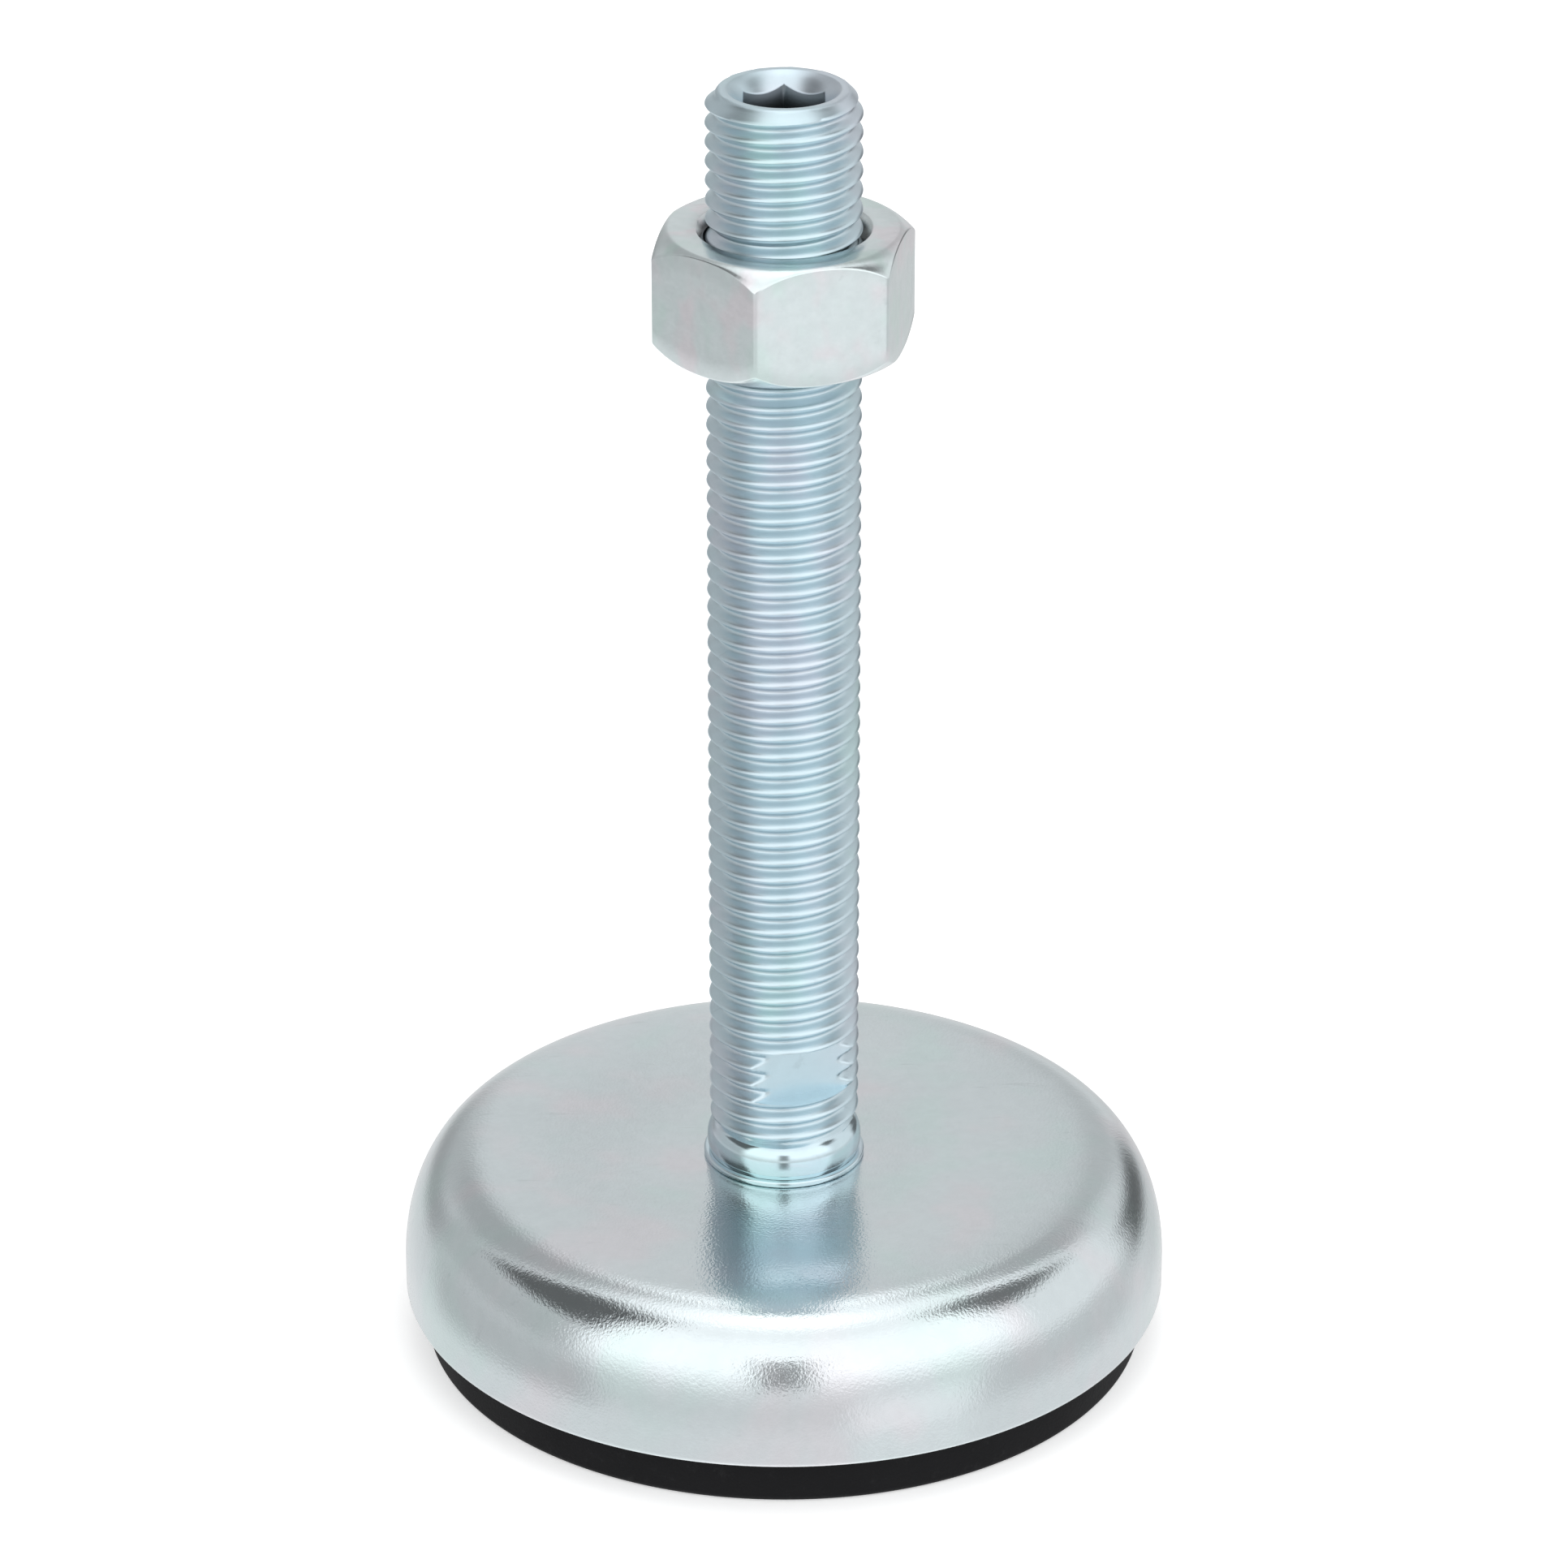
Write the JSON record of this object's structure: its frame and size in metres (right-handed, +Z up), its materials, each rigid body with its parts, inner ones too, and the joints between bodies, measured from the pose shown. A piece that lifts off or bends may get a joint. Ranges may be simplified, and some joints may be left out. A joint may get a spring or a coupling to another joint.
{
  "type": "furniture leveling foot",
  "caption": "Height-adjustable furniture foot: round pressed steel base on a rubber pad, threaded M16 stud with a hex key socket and spanner flats, and a hexagonal jam nut.",
  "frame": {"origin": "centre of the face that rests on the floor, on the stud's axis", "axes": "+Z up along the stud, -Y towards the side seen in front"},
  "size_m": [0.0806, 0.0806, 0.1385],
  "materials": {
    "satin_zinc": "zinc plated and blue passivated pressed steel, satin with a fine grain",
    "bright_zinc": "zinc plated and blue passivated turned steel, bright",
    "spring_steel": "dark oiled spring steel",
    "rubber": "matte black moulded rubber"
  },
  "bodies": {
    "base": {"base_cup": "satin_zinc", "rubber_pad": "rubber", "backing_disc": "satin_zinc", "thrust_washer": "bright_zinc", "lower_washer": "satin_zinc"},
    "stud": {"leveling_stud": "bright_zinc", "retaining_ring": "spring_steel"},
    "nut": {"jam_nut": "bright_zinc"}
  },
  "joints": [
    {"name": "stud_spin", "type": "hinge", "parent": "base", "child": "stud", "pos_m": [0, 0, 0.02], "axis": [0, 0, 1], "range_deg": [-2340, 15120]},
    {"name": "nut_travel", "type": "slide", "parent": "base", "child": "nut", "axis": [0, 0, 1], "range_m": [-0.08401, 0.01301]}
  ],
  "couplings": [
    {"joint": "nut_travel", "follows": "stud_spin", "m_per_rad": -0.00031831}
  ]
}
